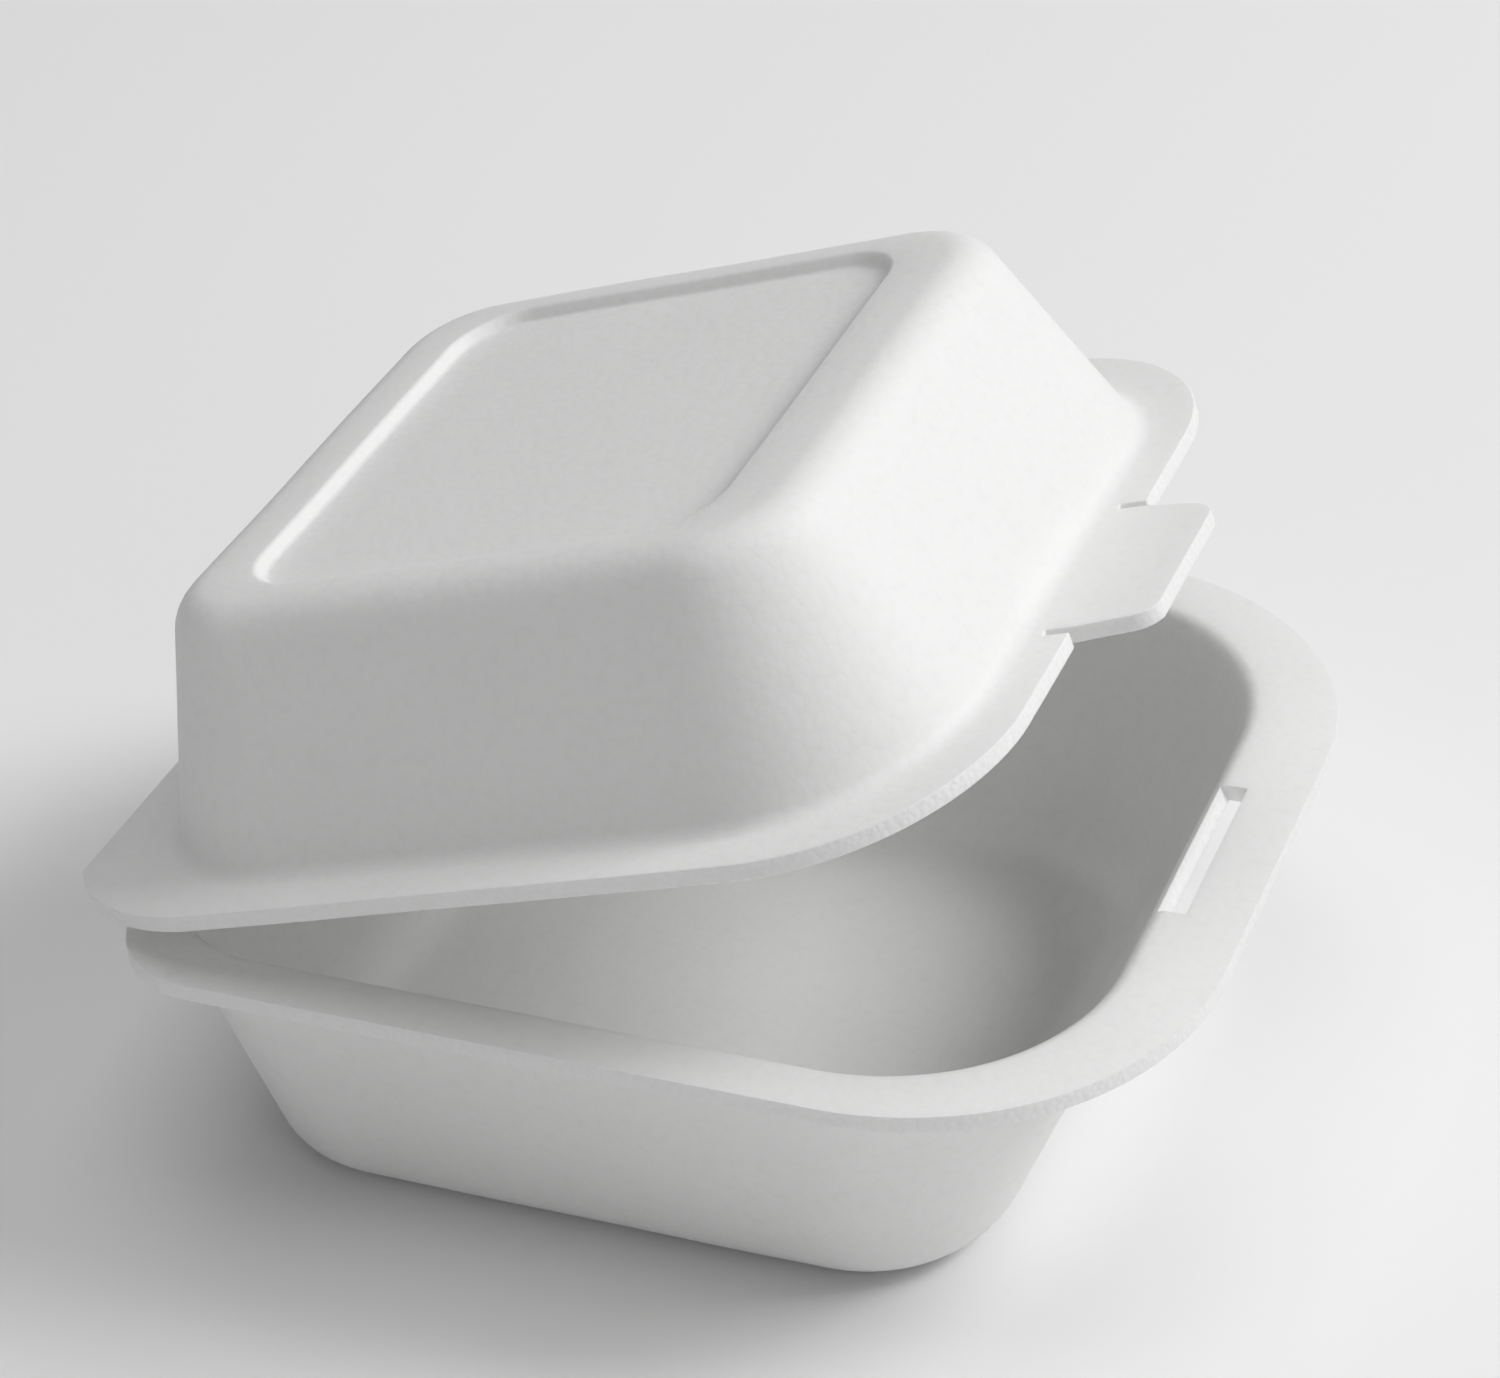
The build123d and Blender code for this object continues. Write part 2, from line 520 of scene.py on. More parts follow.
class Value:
    """A number that changes over a surface: a shader socket with arithmetic."""

    def __init__(self, graph: "ShaderGraph", socket: bpy.types.NodeSocket) -> None:
        """Wraps an output socket of a node in a graph."""
        self.graph = graph
        self.socket = socket

    def math(self, operation: str, other: "Value | float") -> "Value":
        """The result of a Math node for this value and another."""
        return self.graph.value("ShaderNodeMath", {"operation": operation}, {0: self, 1: other})

    def __add__(self, other: "Value | float") -> "Value":
        """This value plus another."""
        return self.math("ADD", other)

    def __sub__(self, other: "Value | float") -> "Value":
        """This value less another."""
        return self.math("SUBTRACT", other)

    def __mul__(self, other: "Value | float") -> "Value":
        """This value times another."""
        return self.math("MULTIPLY", other)

    def clamped(self) -> "Value":
        """This value, kept between 0 and 1."""
        return self.math("MINIMUM", 1.0).math("MAXIMUM", 0.0)


class ShaderGraph:
    """The nodes of one material.

    Attributes:
        MIX_INPUTS: Numbers of a colour Mix node's inputs: the share, the first and the second colour.
        MIX_OUTPUT: Number of its mixed colour among its outputs.
    """

    MIX_INPUTS = (0, 6, 7)
    MIX_OUTPUT = 2

    def __init__(self, name: str) -> None:
        """Makes a material whose only nodes are a shader and its output.

        Args:
            name: Name of the material.
        """
        self.material = bpy.data.materials.new(name)
        self.material.use_nodes = True
        self.tree = self.material.node_tree
        self.shader = self.tree.nodes["Principled BSDF"]

    def value(self, kind: str, settings: dict[str, Any], inputs: dict[Any, Any], output: Any = 0) -> Value:
        """Adds a node, and takes one of its outputs.

        Args:
            kind: The node's type.
            settings: Its own settings, by name.
            inputs: As in feed.
            output: The name or number of the output.

        Returns:
            That output.
        """
        node = self.tree.nodes.new(kind)
        for name, setting in settings.items():
            setattr(node, name, setting)
        self.feed(node, inputs)
        return Value(self, node.outputs[output])

    def feed(self, node: bpy.types.Node, inputs: dict[Any, Any]) -> None:
        """Sets inputs of a node.

        Args:
            node: The node.
            inputs: Values to link, or plain numbers or colours, by the name or number of the input.
        """
        for name, value in inputs.items():
            if isinstance(value, Value):
                self.tree.links.new(value.socket, node.inputs[name])
            else:
                node.inputs[name].default_value = value

    def places(self) -> Value:
        """Object coordinates, in metres."""
        return self.value("ShaderNodeTexCoord", {}, {}, "Object")

    def noise(self, size: float, detail: float) -> Value:
        """Soft noise from 0 to 1; size is from swell to swell, in metres, and detail counts finer layers."""
        inputs = {"Vector": self.places(), "Scale": 1 / size, "Detail": detail}
        return self.value("ShaderNodeTexNoise", {}, inputs)

    def cells(self, size: float) -> Value:
        """Distance from the middle of a foam cell, as a share of the cells' size, given in metres."""
        inputs = {"Vector": self.places(), "Scale": 1 / size}
        return self.value("ShaderNodeTexVoronoi", {"feature": "F1"}, inputs, "Distance")

    def bump(self, height: Value) -> Value:
        """A normal bumped by a relief, whose height is in metres."""
        return self.value("ShaderNodeBump", {}, {"Height": height, "Distance": 1.0, "Strength": 1.0})

    def tint(self, share: Value, low: tuple[float, ...], high: tuple[float, ...]) -> Value:
        """A colour between two others.

        Args:
            share: 0 for the first colour, 1 for the second.
            low: The first colour.
            high: The second colour.

        Returns:
            The colour.
        """
        settings = {"data_type": "RGBA", "clamp_factor": True}
        inputs = dict(zip(self.MIX_INPUTS, (share, (*low, 1), (*high, 1))))
        return self.value("ShaderNodeMix", settings, inputs, self.MIX_OUTPUT)


@dataclass(frozen=True)
class FoamFinish:
    """White expanded foam.

    Attributes:
        name: Name of the material.
        bright: Colour of the middle of a cell.
        dim: Colour where cells meet and in faint stains of pressing.
        roughness: Least and greatest roughness.
        cell: Distance from one foam cell to the next.
        seam: Where the seam of a cell starts, as a share of the cell's size.
        cell_depth: Depth of the dimples between cells.
        grain: Size of the fine grain of the skin.
        grain_depth: Depth of that grain.
        swell: Distance from one soft swell of the sheet to the next.
        swell_depth: Depth of those swells.
        glow: Share of the light that spreads inside the foam.
        glow_reach: How far that light spreads.
        sheen_level: Strength of the skin's reflection.
        shade_shares: How much seams, swells and grain dim the colour.
        rough_shares: How much swells and grain roughen the skin.
    """

    name: str
    bright: tuple[float, float, float] = (0.90, 0.90, 0.895)
    dim: tuple[float, float, float] = (0.83, 0.83, 0.825)
    roughness: tuple[float, float] = (0.48, 0.66)
    cell: float = 0.0013
    seam: float = 0.5
    cell_depth: float = 0.00004
    grain: float = 0.00035
    grain_depth: float = 0.000012
    swell: float = 0.012
    swell_depth: float = 0.00009
    glow: float = 0.35
    glow_reach: float = 0.004
    sheen_level: float = 0.42
    shade_shares: tuple[float, float, float] = (0.35, 0.45, 0.20)
    rough_shares: tuple[float, float] = (0.6, 0.4)

    def make(self) -> bpy.types.Material:
        """Builds the material.

        Returns:
            The material.
        """
        graph = ShaderGraph(self.name)
        cells = graph.cells(self.cell)
        mottle = graph.noise(self.swell, detail=3)
        grain = graph.noise(self.grain, detail=1)
        seams = ((cells - self.seam) * (1 / (1 - self.seam))).clamped()
        by_seam, by_swell, by_grain = self.shade_shares
        shade = (seams * by_seam + mottle * by_swell + grain * by_grain).clamped()
        rough_by_swell, rough_by_grain = self.rough_shares
        rough = mottle * rough_by_swell + grain * rough_by_grain
        low, high = self.roughness
        relief = mottle * self.swell_depth - cells * self.cell_depth + grain * self.grain_depth
        inputs = {
            "Base Color": graph.tint(shade, self.bright, self.dim),
            "Roughness": rough * (high - low) + low,
            "Normal": graph.bump(relief),
            "Subsurface Weight": self.glow,
            "Subsurface Radius": (self.glow_reach,) * 3,
            "Subsurface Scale": 1.0,
            "Specular IOR Level": self.sheen_level,
        }
        graph.feed(graph.shader, inputs)
        return graph.material


@dataclass(frozen=True)
class FloorFinish:
    """A pale matt floor.

    Attributes:
        pale: Its colour.
        shaded: Its colour in faint clouds.
        cloud: Distance from one cloud to the next.
        roughness: Its roughness.
    """

    pale: tuple[float, float, float] = (0.94, 0.94, 0.94)
    shaded: tuple[float, float, float] = (0.925, 0.925, 0.925)
    cloud: float = 0.6
    roughness: float = 0.9

    def make(self) -> bpy.types.Material:
        """Builds the material.

        Returns:
            The material.
        """
        graph = ShaderGraph("pale_floor")
        clouds = graph.noise(self.cloud, detail=2)
        colour = graph.tint(clouds, self.pale, self.shaded)
        graph.feed(graph.shader, {"Base Color": colour, "Roughness": self.roughness})
        return graph.material


@dataclass
class FoamFinishes:
    """The materials of the box, in the order of Surface."""

    skin: bpy.types.Material
    cut_edge: bpy.types.Material

    def dress(self, piece: bpy.types.Object) -> None:
        """Gives a piece its materials."""
        for material in (self.skin, self.cut_edge):
            piece.data.materials.append(material)


def piece_from(mesh: bmesh.types.BMesh, name: str) -> bpy.types.Object:
    """Makes an object of a finished mesh, with smooth faces.

    Args:
        mesh: The mesh, which is freed.
        name: Name of the piece.

    Returns:
        The object, at the origin.
    """
    for face in mesh.faces:
        face.smooth = True
    data = bpy.data.meshes.new(name)
    mesh.to_mesh(data)
    mesh.free()
    piece = bpy.data.objects.new(name, data)
    bpy.context.scene.collection.objects.link(piece)
    return piece


def thicken(piece: bpy.types.Object, wall: float, edge_round: float) -> None:
    """Gives a skin the thickness of the sheet, below it, and softens its cut edges.

    Args:
        piece: The skin, whose faces look up.
        wall: Thickness of the sheet.
        edge_round: Rounding of the cut edges.
    """
    sheet = piece.modifiers.new("sheet", "SOLIDIFY")
    sheet.thickness = wall
    sheet.offset = -1
    sheet.use_even_offset = True
    sheet.material_offset_rim = Surface.CUT_EDGE.value
    soften = piece.modifiers.new("soft_edges", "BEVEL")
    soften.width = edge_round
    soften.segments = 3
    soften.limit_method = "ANGLE"
    soften.angle_limit = math.radians(50)
    soften.harden_normals = True


@dataclass
class Tray:
    """The tray: a flat floor, flared walls, a bent mouth and a flat rim with a slotted front lip.

    Sizes are those of the outer faces. A flare is how far a wall leans out from floor to rim, and a rim's
    own sizes are its widths beyond the walls.

    Attributes:
        rim_shoulder: Width of the rim behind the back wall, beside the hinge land.
        land_round: Radius where the hinge land meets the shoulders.
        slot_into_wall: How far the slot cuts into the front wall.
        floor_shares: Sizes of the rings on the floor, as shares of the floor.
        rim_shares: Where the rings outside the slot lie, as shares of the way left to the rim's edge.
        wall_rings: Number of rings in the walls.
        seed: Shifts the unevenness of the foam.
    """

    sheet: FoamSheet
    height: float = 0.041
    floor_width: float = 0.0935
    floor_length: float = 0.0955
    floor_corner: float = 0.017
    floor_bend: float = 0.008
    side_flare: float = 0.010
    front_flare: float = 0.018
    back_flare: float = 0.0085
    mouth_front_corner: float = 0.031
    mouth_back_corner: float = 0.018
    mouth_bend: float = 0.002
    rim_side: float = 0.0055
    rim_front: float = 0.0095
    rim_shoulder: float = 0.0005
    rim_front_corner: float = 0.038
    rim_shoulder_corner: float = 0.013
    land_round: float = 0.003
    slot_length: float = 0.028
    slot_width: float = 0.0032
    slot_into_wall: float = 0.0014
    floor_shares: tuple[float, ...] = (0.10, 0.28, 0.46, 0.64, 0.80)
    rim_shares: tuple[float, ...] = (0.4, 0.6, 1.0)
    wall_rings: int = 9
    seed: float = 3.0

    @property
    def mouth_front(self) -> float:
        """Place of the front wall's outer face at the rim."""
        return -self.floor_length / 2 - self.front_flare

    @property
    def mouth_back(self) -> float:
        """Place of the back wall's outer face at the rim."""
        return self.floor_length / 2 + self.back_flare

    @property
    def rim_half_width(self) -> float:
        """Half the width of the rim."""
        return self.floor_width / 2 + self.side_flare + self.rim_side

    @property
    def lean(self) -> float:
        """Lean of the side walls."""
        return math.atan2(self.side_flare, self.height)

    def outline(self, height: float) -> Plan:
        """Plan of the inner skin's wall.

        Args:
            height: Height over the table.

        Returns:
            The plan at that height.
        """
        half_width = self.floor_width / 2
        half_length = self.floor_length / 2
        floor = Plan(half_width, -half_length, half_length, self.floor_corner, self.floor_corner)
        mouth = Plan(
            half_width + self.side_flare,
            self.mouth_front,
            self.mouth_back,
            self.mouth_front_corner,
            self.mouth_back_corner,
        )
        return floor.towards(mouth, height / self.height).grown(-self.sheet.wall)

    def build(self, finishes: FoamFinishes) -> bpy.types.Object:
        """Builds and dresses the tray.

        Args:
            finishes: The materials of the box.

        Returns:
            The tray's object.
        """
        loft = SkinLoft(self.sheet.stations([self.slot_length / 2]), self.slot_length / 2)
        floor_height = self.sheet.wall
        floor_bend = Bend(self.floor_bend - self.sheet.wall, self.lean)
        floor = self.outline(floor_height).grown(-floor_bend.reach)
        loft.place(floor.scaled(self.floor_shares[0]), floor_height)
        for share in self.floor_shares[1:]:
            loft.grow(floor.scaled(share), floor_height)
        for offset, rise in floor_bend.offsets():
            loft.grow(self.outline(floor_height + rise).grown(offset), floor_height + rise)
        mouth_bend = Bend(self.mouth_bend, self.lean)
        wall_foot = floor_height + floor_bend.offsets()[-1][1]
        wall_top = self.height - mouth_bend.offsets()[-1][1]
        for ring in range(1, self.wall_rings):
            height = between(wall_foot, wall_top, ring / self.wall_rings)
            loft.grow(self.outline(height), height)
        for offset, drop in reversed(mouth_bend.offsets()):
            loft.grow(self.outline(self.height - drop).grown(-offset), self.height - drop)
        self.add_rim(loft, mouth_bend)
        return self.finish(loft, finishes)

    def add_rim(self, loft: SkinLoft, mouth_bend: Bend) -> None:
        """Grows the rim from the mouth, and cuts the slot.

        Args:
            loft: The skin, grown as far as the rim.
            mouth_bend: The bend at the mouth.
        """
        front = self.mouth_front - self.rim_front
        rim = TrayRimPlan(
            self.rim_half_width,
            front,
            self.mouth_back + self.rim_shoulder,
            self.rim_front_corner,
            self.rim_shoulder_corner,
            self.sheet.hinge_edge,
            self.sheet.hinge_half,
            self.land_round,
        )
        start = self.outline(self.height).front - mouth_bend.reach
        slot_outside = self.mouth_front + self.slot_into_wall - self.slot_width
        slot_inner_ring = len(loft.rings) - 1 - mouth_bend.steps // 2
        loft.grow_between(rim, self.height, (slot_outside - start) / (front - start))
        slot_outer_ring = len(loft.rings) - 1
        for share in self.rim_shares:
            loft.grow_between(rim, self.height, share)
        half = self.slot_length / 2
        loft.cut_away(slot_inner_ring, slot_outer_ring, loft.columns(-half, half))

    def finish(self, loft: SkinLoft, finishes: FoamFinishes) -> bpy.types.Object:
        """Makes the piece of the grown skin.

        Args:
            loft: The whole skin.
            finishes: The materials of the box.

        Returns:
            The tray's object, riding on the base.
        """
        loft.face_up()
        self.sheet.unevenness.roughen(loft.mesh, self.seed)
        piece = piece_from(loft.mesh, "tray_shell")
        finishes.dress(piece)
        thicken(piece, self.sheet.wall, self.sheet.edge_round)
        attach(piece, "base")
        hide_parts("tray")
        return piece


@dataclass
class Lid:
    """The lid: a sunk top panel, leaning walls, and a flat rim with a tongue between two slits.

    Sizes are those of the outer faces of the closed lid. The corners are those at the walls' foot.

    Attributes:
        opening: How far the stored lid is open, in radians.
        draft: Lean of the walls.
        setback: How far the rim's sides stay behind the tray's.
        front_setback: How far the rim's front edge stays behind the tray's.
        rim_cut_off: How far the rim's own outline runs past the hinge, where it is cut off.
        panel_shares: Sizes of the rings on the panel, as shares of the panel.
        rim_shares: Where the rings outside the slits' ends lie, as shares of the way left to the edge.
        tongue_rings: Number of rows in the tongue.
        wall_rings: Number of rings in the walls.
        seed: Shifts the unevenness of the foam.
    """

    sheet: FoamSheet
    tray: Tray
    opening: float
    height: float = 0.0325
    draft: float = math.radians(21)
    front_corner: float = 0.026
    back_corner: float = 0.024
    top_bend: float = 0.006
    foot_bend: float = 0.0025
    panel_side_border: float = 0.006
    panel_front_border: float = 0.0113
    panel_back_border: float = 0.0096
    panel_corner: float = 0.009
    panel_depth: float = 0.0015
    panel_draft: float = math.radians(35)
    panel_bend: float = 0.0008
    setback: float = 0.0016
    front_setback: float = 0.015
    rim_side: float = 0.006
    rim_front: float = 0.0055
    rim_front_corner: float = 0.028
    rim_back_corner: float = 0.028
    rim_cut_off: float = 0.004
    tongue_width: float = 0.029
    tongue_tip_width: float = 0.026
    tongue_length: float = 0.010
    tongue_corner: float = 0.003
    tongue_rings: int = 8
    slit_width: float = 0.0012
    slit_length: float = 0.0035
    panel_shares: tuple[float, ...] = (0.10, 0.28, 0.46, 0.64, 0.80)
    rim_shares: tuple[float, ...] = (0.5, 1.0)
    wall_rings: int = 8
    seed: float = 11.0

    @property
    def seat(self) -> float:
        """Height of the closed rim's underside."""
        return self.sheet.hinge.z + self.sheet.gap / 2

    @property
    def rim_half_width(self) -> float:
        """Half the width of the rim."""
        return self.tray.rim_half_width - self.setback

    @property
    def rim_front_edge(self) -> float:
        """Place of the rim's front edge."""
        return self.tray.mouth_front - self.tray.rim_front + self.front_setback

    def outline(self, height: float) -> Plan:
        """Plan of the outer skin's wall.

        Args:
            height: Height over the seat.

        Returns:
            The plan at that height.
        """
        foot = Plan(
            self.rim_half_width - self.rim_side,
            self.rim_front_edge + self.rim_front,
            self.tray.mouth_back,
            self.front_corner,
            self.back_corner,
        )
        return foot.grown(-height * math.tan(self.draft))

    def panel(self, rise: float) -> Plan:
        """Plan of the sloped step round the sunk panel.

        Args:
            rise: Height over the panel.

        Returns:
            The plan at that height.
        """
        top = self.outline(self.height)
        edge = Plan(
            top.half_width - self.panel_side_border,
            top.front + self.panel_front_border,
            top.back - self.panel_back_border,
            self.panel_corner,
            self.panel_corner,
        )
        return edge.grown((rise - self.panel_depth) * math.tan(self.panel_draft))

    def build(self, finishes: FoamFinishes) -> bpy.types.Object:
        """Builds and dresses the lid.

        Args:
            finishes: The materials of the box.

        Returns:
            The lid's object.
        """
        half = self.tongue_width / 2
        marks = [half, half + self.slit_width]
        loft = SkinLoft(self.sheet.stations(marks), half + self.slit_width)
        self.add_panel(loft)
        self.add_walls(loft)
        self.add_rim(loft)
        return self.finish(loft, finishes)

    def add_panel(self, loft: SkinLoft) -> None:
        """Starts the skin with the sunk panel and the step round it.

        Args:
            loft: The skin.
        """
        bend = Bend(self.panel_bend, self.panel_draft, steps=4)
        floor_height = self.seat + self.height - self.panel_depth
        floor = self.panel(0).grown(-bend.reach)
        loft.place(floor.scaled(self.panel_shares[0]), floor_height)
        for share in self.panel_shares[1:]:
            loft.grow(floor.scaled(share), floor_height)
        for offset, rise in bend.offsets():
            loft.grow(self.panel(rise).grown(offset), floor_height + rise)
        for offset, drop in reversed(bend.offsets()):
            rise = self.panel_depth - drop
            loft.grow(self.panel(rise).grown(-offset), floor_height + rise)

    def add_walls(self, loft: SkinLoft) -> None:
        """Grows the top's border, its bend, the walls and the bend at their foot.

        Args:
            loft: The skin, grown as far as the border.
        """
        top_bend = Bend(self.top_bend, self.draft)
        foot_bend = Bend(self.foot_bend, self.draft)
        for offset, drop in top_bend.offsets():
            height = self.height - drop
            loft.grow(self.outline(height).grown(offset), self.seat + height)
        wall_top = self.height - top_bend.offsets()[-1][1]
        wall_foot = self.sheet.wall + foot_bend.offsets()[-1][1]
        for ring in range(1, self.wall_rings):
            height = between(wall_top, wall_foot, ring / self.wall_rings)
            loft.grow(self.outline(height), self.seat + height)
        for offset, rise in reversed(foot_bend.offsets()):
            height = self.sheet.wall + rise
            loft.grow(self.outline(height).grown(-offset), self.seat + height)

    def add_rim(self, loft: SkinLoft) -> None:
        """Grows the rim, cuts the two slits and adds the tongue between them.

        Args:
            loft: The skin, grown as far as the rim.
        """
        level = self.seat + self.sheet.wall
        rim = LidRimPlan(
            self.rim_half_width,
            self.rim_front_edge,
            self.sheet.hinge.y + self.rim_cut_off,
            self.rim_front_corner,
            self.rim_back_corner,
            self.sheet.hinge_edge,
        )
        start = min(vert.co.y for vert in loft.rings[-1])
        slit_end = self.rim_front_edge + self.slit_length
        loft.grow_between(rim, level, (slit_end - start) / (self.rim_front_edge - start))
        slit_ring = len(loft.rings) - 1
        for share in self.rim_shares:
            loft.grow_between(rim, level, share)
        half = self.tongue_width / 2
        outer = half + self.slit_width
        tongue = loft.columns(-half, half)
        edge = loft.rings[-1]
        root = [edge[column] for column in (*tongue, tongue[-1] + 1)]
        slits = loft.columns(-outer, -half) + loft.columns(half, outer)
        loft.cut_away(slit_ring, len(loft.rings) - 1, slits)
        self.add_tongue(loft.mesh, root)

    def add_tongue(self, mesh: bmesh.types.BMesh, root: list[bmesh.types.BMVert]) -> None:
        """Extrudes the tongue from the rim's front edge.

        Args:
            mesh: The skin.
            root: The vertices along the tongue's root, from left to right.
        """
        shares = [vert.co.x / (self.tongue_width / 2) for vert in root]
        row = root
        for step in range(1, self.tongue_rings + 1):
            along = self.tongue_length * math.sin(RIGHT_ANGLE * step / self.tongue_rings)
            edges = [mesh.edges.get(pair) for pair in zip(row, row[1:])]
            made = bmesh.ops.extrude_edge_only(mesh, edges=edges)
            new = {item for item in made["geom"] if isinstance(item, bmesh.types.BMVert)}
            row = [SkinLoft.partner(vert, new) for vert in row]
            for vert, share in zip(row, shares):
                vert.co.x = share * self.tongue_half_width(along)
                vert.co.y = self.rim_front_edge - along

    def tongue_half_width(self, along: float) -> float:
        """Half the tongue's width, with rounded corners at its tip.

        Args:
            along: Distance from the tongue's root.

        Returns:
            Half the width there.
        """
        half = between(self.tongue_width, self.tongue_tip_width, along / self.tongue_length) / 2
        past = max(0.0, along - (self.tongue_length - self.tongue_corner))
        return half - self.tongue_corner + math.sqrt(max(0.0, self.tongue_corner**2 - past**2))

    def finish(self, loft: SkinLoft, finishes: FoamFinishes) -> bpy.types.Object:
        """Makes the piece of the grown skin, and turns it open.

        Args:
            loft: The whole skin.
            finishes: The materials of the box.

        Returns:
            The lid's object, riding on the lid.
        """
        loft.face_up()
        self.sheet.unevenness.roughen(loft.mesh, self.seed)
        turn = Matrix.Rotation(-self.opening, 3, "X")
        bmesh.ops.rotate(loft.mesh, verts=loft.mesh.verts[:], cent=self.sheet.hinge, matrix=turn)
        piece = piece_from(loft.mesh, "lid_shell")
        finishes.dress(piece)
        thicken(piece, self.sheet.wall, self.sheet.edge_round)
        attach(piece, "lid")
        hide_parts("lid")
        return piece


@dataclass
class HingeCrease:
    """The pressed crease: a thin web of foam round the hinge line, from the tray's rim to the lid's.

    Attributes:
        opening: How far the stored lid is open, in radians.
        radius: Radius of the web's middle line.
        web: Thickness of the web.
        rooted: How far the web runs on into each rim, in radians.
        turn_steps: Number of columns round the hinge line.
        length_steps: Number of rows along it.
    """

    sheet: FoamSheet
    opening: float
    radius: float = 0.00125
    web: float = 0.0007
    rooted: float = math.radians(22)
    turn_steps: int = 18
    length_steps: int = 60

    def at(self, angle: float) -> Vector:
        """A point of the web's middle line, by its angle round the hinge, from level with the back."""
        return self.sheet.hinge + self.radius * Vector((0, math.cos(angle), math.sin(angle)))

    def build(self, finishes: FoamFinishes) -> bpy.types.Object:
        """Builds and dresses the crease.

        Args:
            finishes: The materials of the box.

        Returns:
            The crease's object, curved round the hinge from the tray's rim to the lid's.
        """
        tray_end = -RIGHT_ANGLE
        lid_end = RIGHT_ANGLE - self.opening
        mesh = bmesh.new()
        start = self.at(tray_end - self.rooted)
        first = mesh.verts.new(start + Vector((-self.sheet.hinge_half, 0, 0)))
        row = [first]
        step = Vector((2 * self.sheet.hinge_half / self.length_steps, 0, 0))
        for _ in range(self.length_steps):
            made = bmesh.ops.extrude_vert_indiv(mesh, verts=[row[-1]])
            made["verts"][0].co += step
            row.append(made["verts"][0])
        bmesh.ops.spin(
            mesh,
            geom=row + mesh.edges[:],
            cent=self.sheet.hinge,
            axis=Vector((1, 0, 0)),
            angle=lid_end - tray_end + 2 * self.rooted,
            steps=self.turn_steps,
        )
        bmesh.ops.recalc_face_normals(mesh, faces=mesh.faces[:])
        piece = piece_from(mesh, "hinge_crease")
        finishes.dress(piece)
        web = piece.modifiers.new("web", "SOLIDIFY")
        web.thickness = self.web
        web.offset = 0
        tuple(self.at(tray_end))
        tuple(self.at(lid_end))
        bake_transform(piece)
        return piece


@dataclass(frozen=True)
class SoftLight:
    """A square soft box that points at the box.

    Attributes:
        name: Name of the light.
        azimuth: Where it stands, in degrees, anticlockwise from the right seen from above.
        elevation: How high it stands, in degrees.
        distance: How far it stands from the box.
        size: Length of its side.
        power: Its power, in watts.
    """

    name: str
    azimuth: float
    elevation: float
    distance: float
    size: float
    power: float

    def build(self, target: Vector) -> None:
        """Places the light so that it points at a target.

        Args:
            target: The middle of the box.
        """
        a, e = math.radians(self.azimuth), math.radians(self.elevation)
        out = Vector((math.cos(a) * math.cos(e), math.sin(a) * math.cos(e), math.sin(e)))
        lamp = bpy.data.lights.new(self.name, "AREA")
        lamp.size = self.size
        lamp.energy = self.power
        piece = bpy.data.objects.new(self.name, lamp)
        bpy.context.scene.collection.objects.link(piece)
        piece.location = target + out * self.distance
        piece.rotation_euler = out.to_track_quat("Z", "Y").to_euler()


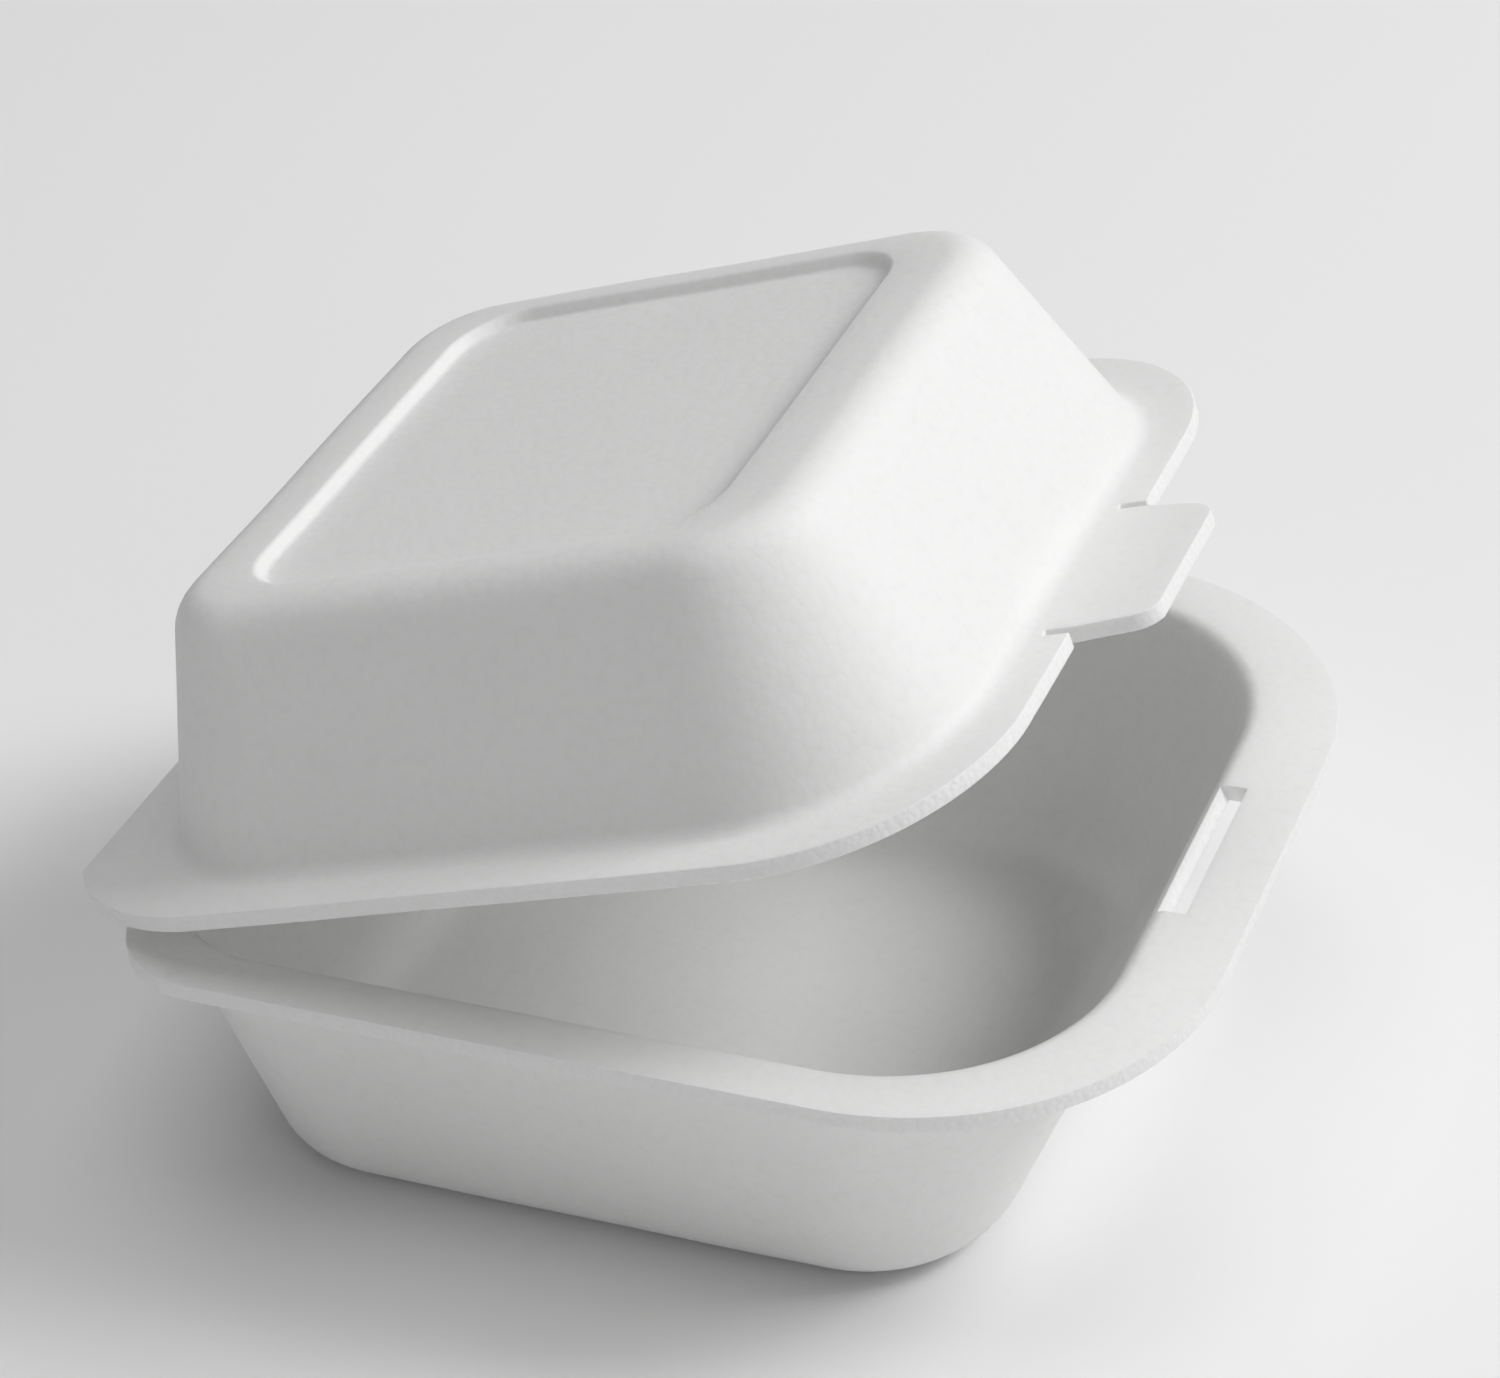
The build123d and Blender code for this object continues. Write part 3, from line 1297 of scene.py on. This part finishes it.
@dataclass
class Studio:
    """The floor, the lights and the camera.

    Attributes:
        camera_place: Where the camera stands.
        azimuth: The camera's direction, in degrees; 0 looks along +Y.
        elevation: Its height over the horizon, in degrees.
        roll: Its roll, in degrees.
        focal_pixels: Its focal length, in pixels of the photograph.
        floor_size: Length of the floor's side.
        ambient: Strength of the even light from all round.
    """

    camera_place: Vector = field(default_factory=lambda: Vector((-0.40611, -0.18140, 0.33839)))
    azimuth: float = -66.7
    elevation: float = 32.77
    roll: float = -4.0
    focal_pixels: float = 4158.7
    floor_size: float = 8.0
    ambient: float = 0.15
    lights: tuple[SoftLight, ...] = (
        SoftLight("key_light", azimuth=-66, elevation=42, distance=2.5, size=1.1, power=39),
        SoftLight("top_light", azimuth=90, elevation=86, distance=2.5, size=1.8, power=18),
        SoftLight("fill_light", azimuth=-135, elevation=28, distance=2.5, size=1.4, power=5),
    )

    def build(self, target: Vector) -> None:
        """Sets up the whole studio.

        Args:
            target: The middle of the box.
        """
        bpy.context.scene.view_settings.view_transform = "Standard"
        self.add_floor()
        self.add_camera()
        for light in self.lights:
            light.build(target)
        world = bpy.data.worlds.new("soft_room")
        world.use_nodes = True
        backdrop = world.node_tree.nodes["Background"]
        backdrop.inputs["Color"].default_value = (1, 1, 1, 1)
        backdrop.inputs["Strength"].default_value = self.ambient
        bpy.context.scene.world = world

    def add_floor(self) -> None:
        """Lays a large pale floor."""
        mesh = bmesh.new()
        bmesh.ops.create_grid(mesh, x_segments=1, y_segments=1, size=self.floor_size / 2)
        floor = piece_from(mesh, "studio_floor")
        floor.data.materials.append(FloorFinish().make())

    def add_camera(self) -> None:
        """Stands the camera where the photograph was taken from."""
        a, e, r = (math.radians(v) for v in (self.azimuth, self.elevation, self.roll))
        back = Vector((math.sin(a) * math.cos(e), -math.cos(a) * math.cos(e), math.sin(e)))
        right = Vector((math.cos(a), math.sin(a), 0))
        up = back.cross(right)
        rolled_right = right * math.cos(r) + up * math.sin(r)
        rolled_up = up * math.cos(r) - right * math.sin(r)
        lens = bpy.data.cameras.new("photo_camera")
        lens.sensor_fit = "HORIZONTAL"
        lens.sensor_width = SENSOR_WIDTH
        lens.lens = self.focal_pixels / PHOTO_WIDTH * SENSOR_WIDTH
        camera = bpy.data.objects.new("photo_camera", lens)
        bpy.context.scene.collection.objects.link(camera)
        turn = Matrix((rolled_right, rolled_up, back)).transposed().to_4x4()
        camera.matrix_world = Matrix.Translation(self.camera_place) @ turn
        bpy.context.scene.camera = camera


def main() -> None:
    """Builds the box and the studio."""
    joint = frame["joints"][0]
    opening = -math.radians(joint["range_deg"][0])
    sheet = FoamSheet(hinge=Vector(joint["pos_m"]))
    finishes = FoamFinishes(
        FoamFinish("foam_skin").make(),
        FoamFinish("foam_cut_edge", roughness=(0.6, 0.8), cell=0.0009, cell_depth=0.00012).make(),
    )
    tray = Tray(sheet)
    lid = Lid(sheet, tray, opening)
    for part in (tray, lid, HingeCrease(sheet, opening)):
        piece = part.build(finishes)
        LOG.info("%s: %d faces before its modifiers", piece.name, len(piece.data.polygons))
    low, high = cad_box
    Studio().build((low + high) / 2)


if __name__ == "__main__":
    logging.basicConfig(level=logging.INFO)
    main()
